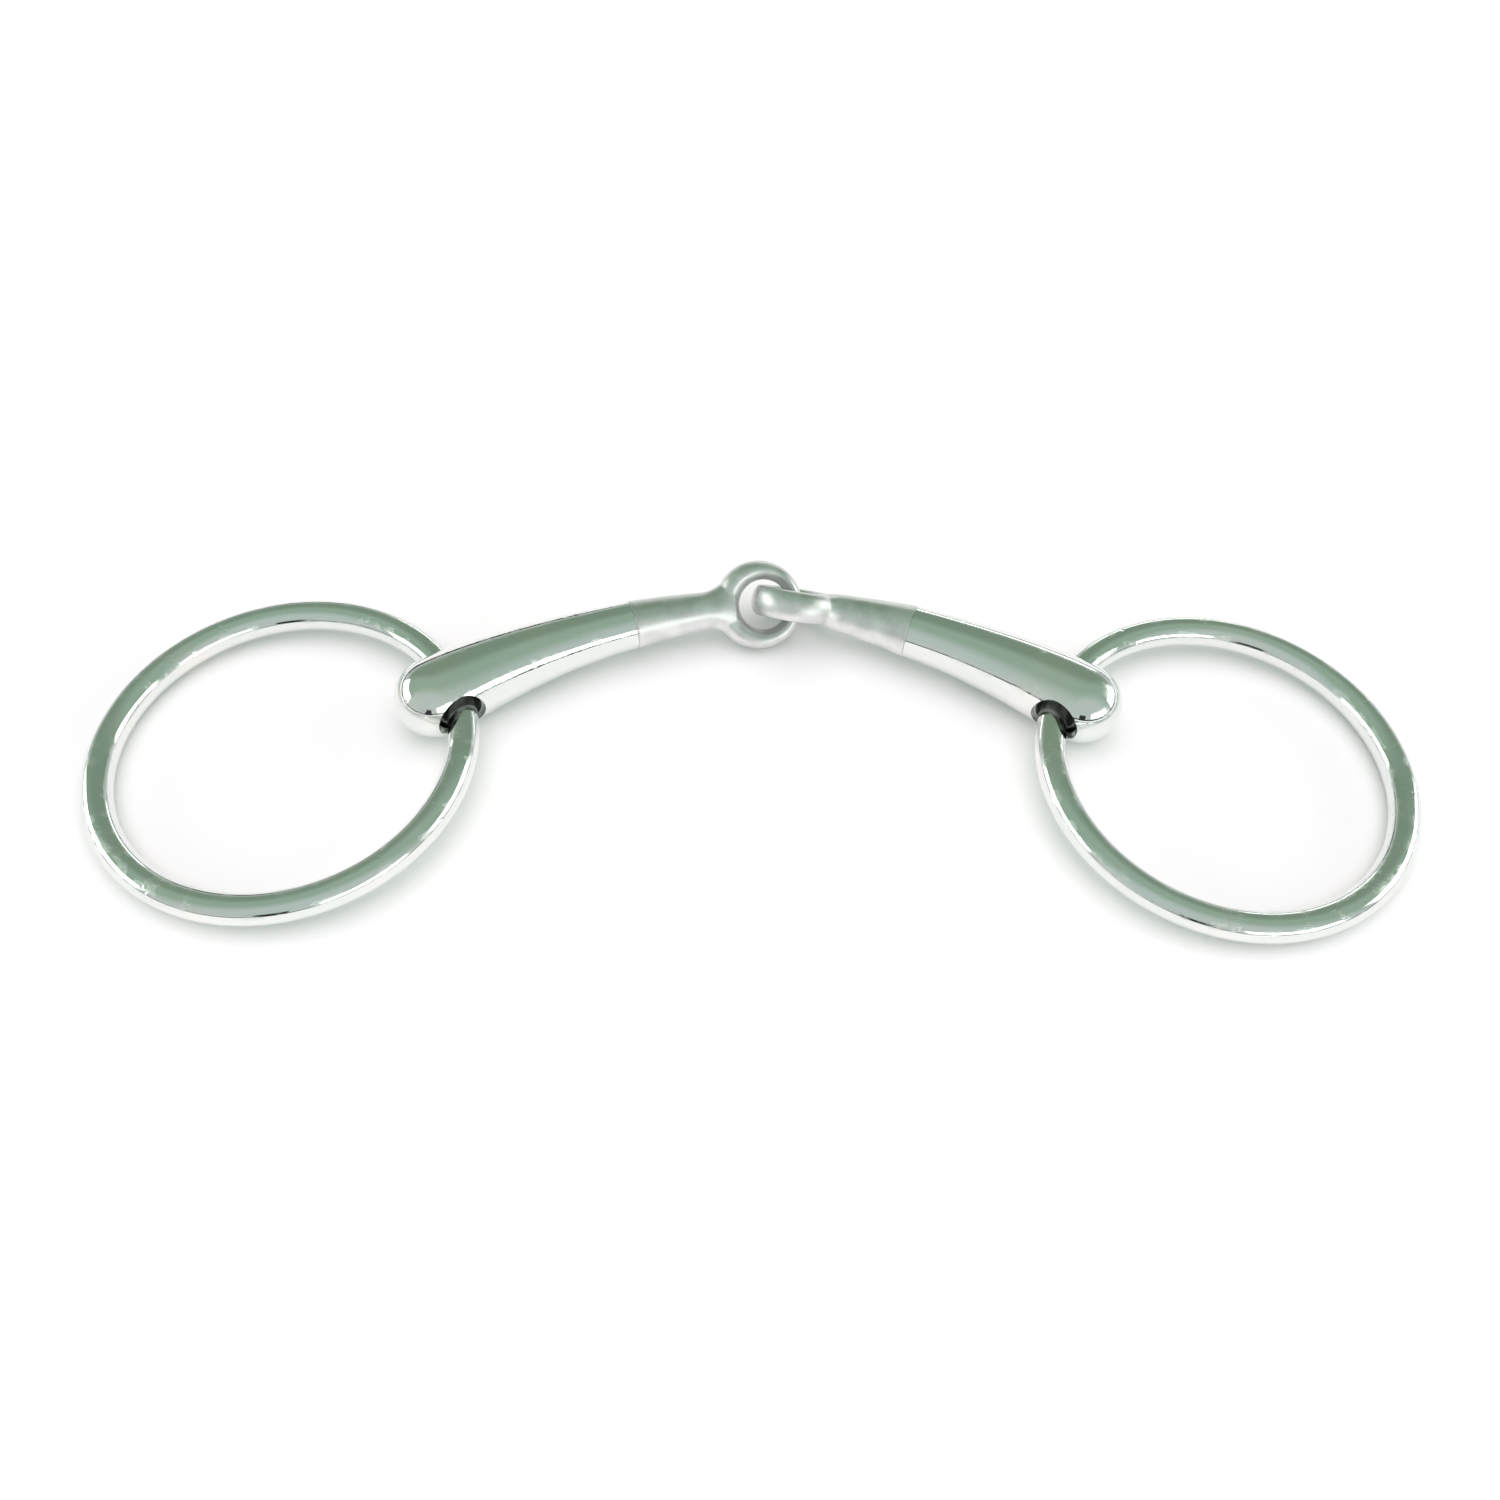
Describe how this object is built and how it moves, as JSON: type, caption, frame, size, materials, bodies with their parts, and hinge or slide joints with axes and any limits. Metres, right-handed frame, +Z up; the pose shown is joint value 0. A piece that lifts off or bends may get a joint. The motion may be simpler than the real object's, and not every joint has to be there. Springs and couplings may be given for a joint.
{
  "type": "snaffle bit",
  "caption": "Loose ring snaffle bit: curved jointed mouthpiece of hollow polished cannons and satin interlinked eyes, with a round ring running through each end.",
  "frame": {"origin": "middle of the bit's footprint, on the surface that it lies on", "axes": "+X along the mouthpiece from the left ring to the right ring, +Y to the side the mouthpiece bows towards, +Z up"},
  "size_m": [0.2842, 0.0919, 0.0173],
  "materials": {
    "polished_ring": "polished stainless steel with fine nicks",
    "polished_cannon": "mirror polished stainless steel",
    "satin_link": "fine satin, blasted",
    "hole_liner": "rough, unpolished"
  },
  "bodies": {
    "left_half": {"left_cannon_shell": "polished_cannon", "left_joint_link": "satin_link"},
    "right_half": {"right_cannon_shell": "polished_cannon", "right_joint_link": "satin_link"},
    "left_liner": {"left_ring_liner": "hole_liner"},
    "right_liner": {"right_ring_liner": "hole_liner"},
    "left_ring": {"left_ring": "polished_ring"},
    "right_ring": {"right_ring": "polished_ring"}
  },
  "joints": [
    {"name": "mouthpiece_fold", "type": "hinge", "parent": "left_half", "child": "right_half", "pos_m": [0.00122, 0.03766, 0.00865], "axis": [0.096, -0.7006, 0.7071], "range_deg": [-100, 130]},
    {"name": "left_ring_swing", "type": "hinge", "parent": "left_half", "child": "left_liner", "pos_m": [-0.06601, 0.01151, 0.00865], "axis": [-0.3763, 0.9265, 0], "range_deg": [-110, 130]},
    {"name": "left_ring_run", "type": "hinge", "parent": "left_liner", "child": "left_ring", "pos_m": [-0.10059, -0.0041, 0.00563], "axis": [-0.0609, 0.0007, 0.9981], "continuous": true},
    {"name": "right_ring_swing", "type": "hinge", "parent": "right_half", "child": "right_liner", "pos_m": [0.06687, 0.01336, 0.00865], "axis": [0.395, 0.9187, 0], "range_deg": [-130, 110]},
    {"name": "right_ring_run", "type": "hinge", "parent": "right_liner", "child": "right_ring", "pos_m": [0.10059, -0.00402, 0.00554], "axis": [0.0555, -0.0183, 0.9983], "continuous": true}
  ]
}
